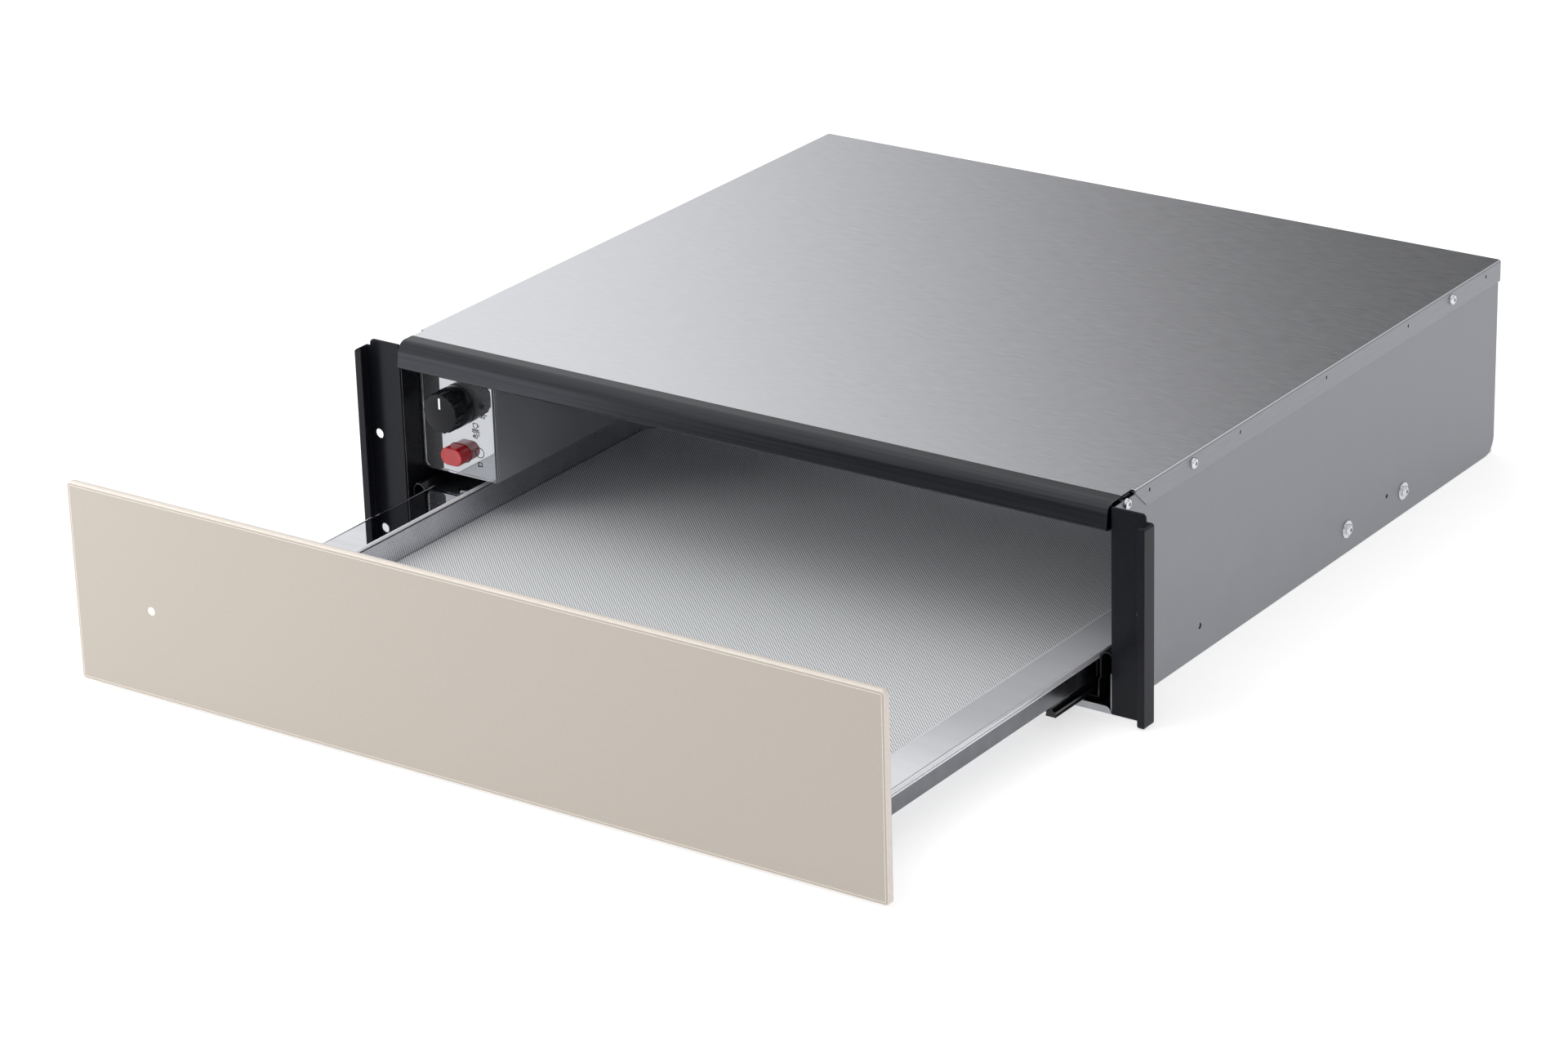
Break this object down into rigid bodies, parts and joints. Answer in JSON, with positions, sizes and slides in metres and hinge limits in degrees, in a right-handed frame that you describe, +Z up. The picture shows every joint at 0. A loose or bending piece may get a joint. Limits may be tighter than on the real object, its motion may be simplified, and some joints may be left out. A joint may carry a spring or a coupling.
{
  "type": "warming drawer",
  "caption": "Built-in warming drawer with a glass front, telescopic tray, steel casing, black mounting flanges, and a side control housing with a temperature knob and a power button.",
  "frame": {"origin": "middle of the casing's underside, half-way between the flange plane and the back of the side panels", "axes": "+X to the right seen from the front, +Y to the back, +Z up; the drawer opens towards -Y"},
  "size_m": [0.596, 0.7894, 0.1372],
  "materials": {
    "casing_steel": "brushed along the width, satin",
    "zinc_plated_steel": "zinc plated, dull",
    "black_lacquer": "black, satin",
    "anthracite_trim": "anthracite, satin",
    "polished_steel": "polished stainless steel",
    "front_glass": "beige, lacquered behind, satin front",
    "mat_rubber": "light grey, fine weave, matte",
    "light_guide": "clear, satin end",
    "control_gloss": "silver, glossy",
    "black_plastic": "black, fine grain",
    "red_plastic": "red, translucent",
    "white_plastic": "off-white",
    "wire_sleeve": "silicone sleeve",
    "shaft_brass": "turned",
    "motor_steel": "laminated steel with a copper coil",
    "heater_steel": "heat-tinted",
    "mineral_wool": "pressed mineral wool"
  },
  "bodies": {
    "chassis": {"bottom_plate": "zinc_plated_steel", "left_side_panel": "casing_steel", "right_side_panel": "casing_steel", "back_panel": "zinc_plated_steel", "top_cover": "casing_steel", "front_trim": "anthracite_trim", "left_mounting_flange": "black_lacquer", "right_mounting_flange": "black_lacquer", "inner_ceiling": "casing_steel", "ceiling_insulation": "mineral_wool", "left_cabinet_rail": "black_lacquer", "right_cabinet_rail": "black_lacquer", "control_housing": "casing_steel", "control_bezel": "black_plastic", "control_face": "control_gloss", "thermostat_body": "zinc_plated_steel", "switch_body": "black_plastic", "fan_scroll": "zinc_plated_steel", "fan_motor": "motor_steel", "air_duct": "casing_steel", "heater_element": "heater_steel", "thermal_cutout": "zinc_plated_steel", "terminal_block": "white_plastic", "wiring_harness": "wire_sleeve", "cable_gland": "black_plastic", "latch_housing": "black_plastic", "cover_screws": "zinc_plated_steel", "slide_screws": "zinc_plated_steel", "flange_screws": "black_lacquer", "trim_screws": "zinc_plated_steel", "housing_screws": "zinc_plated_steel", "back_screws": "zinc_plated_steel"},
    "drawer": {"glass_panel": "front_glass", "panel_backing": "zinc_plated_steel", "indicator_lens": "light_guide", "tray": "polished_steel", "anti_slip_mat": "mat_rubber", "left_drawer_rail": "zinc_plated_steel", "right_drawer_rail": "zinc_plated_steel", "left_panel_bracket": "zinc_plated_steel", "right_panel_bracket": "zinc_plated_steel", "latch_striker": "zinc_plated_steel", "panel_screws": "zinc_plated_steel"},
    "left_middle": {"left_middle_rail": "black_lacquer"},
    "right_middle": {"right_middle_rail": "black_lacquer"},
    "left_lower_cage": {"left_lower_ball_cage": "zinc_plated_steel"},
    "right_lower_cage": {"right_lower_ball_cage": "zinc_plated_steel"},
    "left_upper_cage": {"left_upper_ball_cage": "zinc_plated_steel"},
    "right_upper_cage": {"right_upper_ball_cage": "zinc_plated_steel"},
    "knob": {"temperature_knob": "black_plastic", "thermostat_shaft": "shaft_brass"},
    "button": {"power_button": "red_plastic"},
    "hook": {"latch_hook": "zinc_plated_steel"},
    "fan": {"fan_impeller": "black_plastic"}
  },
  "joints": [
    {"name": "drawer_slide", "type": "slide", "parent": "chassis", "child": "drawer", "axis": [0, 1, 0], "range_m": [-0.11, 0.269]},
    {"name": "left_middle_slide", "type": "slide", "parent": "chassis", "child": "left_middle", "axis": [0, 1, 0], "range_m": [-0.0555, 0.135]},
    {"name": "left_lower_cage_slide", "type": "slide", "parent": "chassis", "child": "left_lower_cage", "axis": [0, 1, 0], "range_m": [-0.028, 0.06775]},
    {"name": "left_upper_cage_slide", "type": "slide", "parent": "chassis", "child": "left_upper_cage", "axis": [0, 1, 0], "range_m": [-0.083, 0.20225]},
    {"name": "right_middle_slide", "type": "slide", "parent": "chassis", "child": "right_middle", "axis": [0, 1, 0], "range_m": [-0.0555, 0.135]},
    {"name": "right_lower_cage_slide", "type": "slide", "parent": "chassis", "child": "right_lower_cage", "axis": [0, 1, 0], "range_m": [-0.028, 0.06775]},
    {"name": "right_upper_cage_slide", "type": "slide", "parent": "chassis", "child": "right_upper_cage", "axis": [0, 1, 0], "range_m": [-0.083, 0.20225]},
    {"name": "knob_turn", "type": "hinge", "parent": "chassis", "child": "knob", "pos_m": [-0.2383, -0.24, 0.0923], "axis": [0, 1, 0], "range_deg": [0, 270]},
    {"name": "button_press", "type": "slide", "parent": "chassis", "child": "button", "axis": [0, 1, 0], "range_m": [0, 0.003], "stiffness_N_per_m": 300},
    {"name": "hook_swing", "type": "hinge", "parent": "chassis", "child": "hook", "pos_m": [0.012, 0.1815, 0.0062], "axis": [0, 0, 1], "range_deg": [-15, 0], "stiffness_Nm_per_rad": 0.02},
    {"name": "fan_spin", "type": "hinge", "parent": "chassis", "child": "fan", "pos_m": [-0.22, -0.0085, 0.0805], "axis": [1, 0, 0], "continuous": true}
  ],
  "couplings": [
    {"joint": "left_middle_slide", "follows": "drawer_slide", "ratio": 0.5},
    {"joint": "left_lower_cage_slide", "follows": "drawer_slide", "ratio": 0.25},
    {"joint": "left_upper_cage_slide", "follows": "drawer_slide", "ratio": 0.75},
    {"joint": "right_middle_slide", "follows": "drawer_slide", "ratio": 0.5},
    {"joint": "right_lower_cage_slide", "follows": "drawer_slide", "ratio": 0.25},
    {"joint": "right_upper_cage_slide", "follows": "drawer_slide", "ratio": 0.75}
  ]
}
